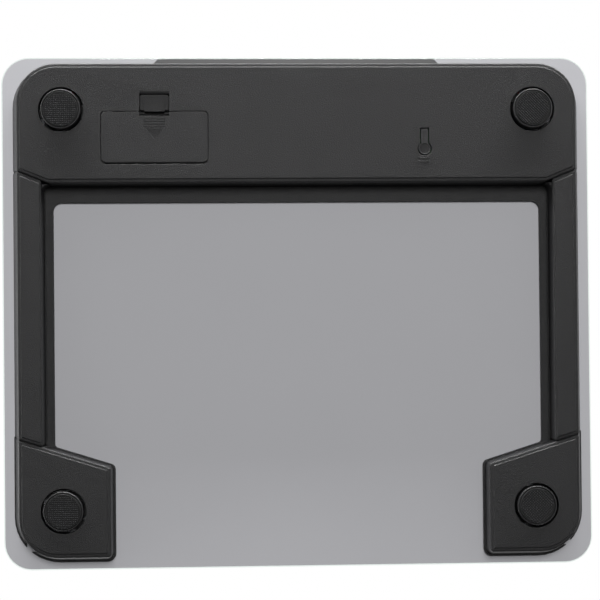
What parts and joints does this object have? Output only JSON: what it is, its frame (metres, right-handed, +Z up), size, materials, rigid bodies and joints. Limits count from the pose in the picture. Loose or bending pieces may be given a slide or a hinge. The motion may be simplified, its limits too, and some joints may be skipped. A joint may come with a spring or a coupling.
{
  "type": "bathroom scale",
  "caption": "Low glass-topped digital bathroom scale: U-shaped moulded base with load-cell feet, hinged battery door, unit button and a display bar along one edge.",
  "frame": {"origin": "centre of the footprint, on the floor the four rubber pads stand on", "axes": "+X towards the battery door, along the long side; +Y towards the display edge; +Z up through the glass"},
  "size_m": [0.3, 0.26, 0.0227],
  "materials": {
    "glass": "polished",
    "silver_print": "printed ink under glass",
    "black_print": "printed ink under glass",
    "foam_tape": "double-sided foam tape",
    "base_plastic": "fine spark texture",
    "foot_plastic": "fine spark texture",
    "rubber": "moulded pattern",
    "spring_steel": "black phosphate skin",
    "black_plastic": "plain moulded",
    "silicone": "cast",
    "wire": "pvc insulation",
    "zinc_steel": "zinc plated",
    "circuit_laminate": "solder mask",
    "epoxy": "cast",
    "display_glass": "display glass",
    "contact_rubber": "layered",
    "battery_sleeve": "printed sleeve, blank",
    "nickel": "nickel plated"
  },
  "bodies": {
    "base": {"glass_platform": "glass", "silver_back_print": "silver_print", "display_mask_print": "black_print", "bonding_tape": "foam_tape", "base_frame": "base_plastic", "load_cell_rear_left": "spring_steel", "load_cell_rear_right": "spring_steel", "load_cell_front_left": "spring_steel", "load_cell_front_right": "spring_steel", "cell_retainer_rear_left": "black_plastic", "cell_retainer_rear_right": "black_plastic", "cell_retainer_front_left": "black_plastic", "cell_retainer_front_right": "black_plastic", "gauge_potting_rear_left": "silicone", "gauge_potting_rear_right": "silicone", "gauge_potting_front_left": "silicone", "gauge_potting_front_right": "silicone", "sensor_wires_rear_left": "wire", "sensor_wires_rear_right": "wire", "sensor_wires_front_left": "wire", "sensor_wires_front_right": "wire", "retainer_screws": "zinc_steel", "circuit_board": "circuit_laminate", "board_screws": "zinc_steel", "chip_glob_top": "epoxy", "lcd_panel": "display_glass", "lcd_bezel": "black_plastic", "zebra_strips": "contact_rubber", "switch_body": "black_plastic", "battery_cell_a": "battery_sleeve", "battery_cell_b": "battery_sleeve", "battery_spring_contact": "nickel", "battery_flat_contact": "nickel", "battery_bridge_contact": "nickel", "battery_leads": "wire"},
    "foot_rear_left": {"foot_shell_rear_left": "foot_plastic", "foot_pad_rear_left": "rubber"},
    "foot_rear_right": {"foot_shell_rear_right": "foot_plastic", "foot_pad_rear_right": "rubber"},
    "foot_front_left": {"foot_shell_front_left": "foot_plastic", "foot_pad_front_left": "rubber"},
    "foot_front_right": {"foot_shell_front_right": "foot_plastic", "foot_pad_front_right": "rubber"},
    "door": {"battery_door": "base_plastic"},
    "door_latch": {"battery_door_latch": "base_plastic"},
    "unit_key": {"unit_button": "base_plastic"},
    "switch_key": {"switch_plunger": "black_plastic"}
  },
  "joints": [
    {"name": "foot_press_rear_left", "type": "slide", "parent": "base", "child": "foot_rear_left", "axis": [0, 0, 1], "range_m": [0, 0.0005], "stiffness_N_per_m": 30000, "deforming": ["load_cell_rear_left"]},
    {"name": "foot_press_rear_right", "type": "slide", "parent": "base", "child": "foot_rear_right", "axis": [0, 0, 1], "range_m": [0, 0.0005], "stiffness_N_per_m": 30000, "deforming": ["load_cell_rear_right"]},
    {"name": "foot_press_front_left", "type": "slide", "parent": "base", "child": "foot_front_left", "axis": [0, 0, 1], "range_m": [0, 0.0005], "stiffness_N_per_m": 30000, "deforming": ["load_cell_front_left"]},
    {"name": "foot_press_front_right", "type": "slide", "parent": "base", "child": "foot_front_right", "axis": [0, 0, 1], "range_m": [0, 0.0005], "stiffness_N_per_m": 30000, "deforming": ["load_cell_front_right"]},
    {"name": "battery_door_hinge", "type": "hinge", "parent": "base", "child": "door", "pos_m": [0.0718, 0.0748, 0.0034], "axis": [-1, 0, 0], "range_deg": [0, 70]},
    {"name": "door_latch_press", "type": "slide", "parent": "door", "child": "door_latch", "axis": [0, -1, 0], "range_m": [0, 0.0012], "stiffness_N_per_m": 1500},
    {"name": "unit_button_press", "type": "hinge", "parent": "base", "child": "unit_key", "pos_m": [-0.0636, 0.0905, 0.0033], "axis": [-1, 0, 0], "range_deg": [0, 1.6], "stiffness_Nm_per_rad": 1},
    {"name": "switch_plunger_travel", "type": "slide", "parent": "base", "child": "switch_key", "axis": [0, 0, 1], "range_m": [0, 0.0003]}
  ],
  "couplings": [
    {"joint": "switch_plunger_travel", "follows": "unit_button_press", "m_per_rad": 0.0096}
  ]
}
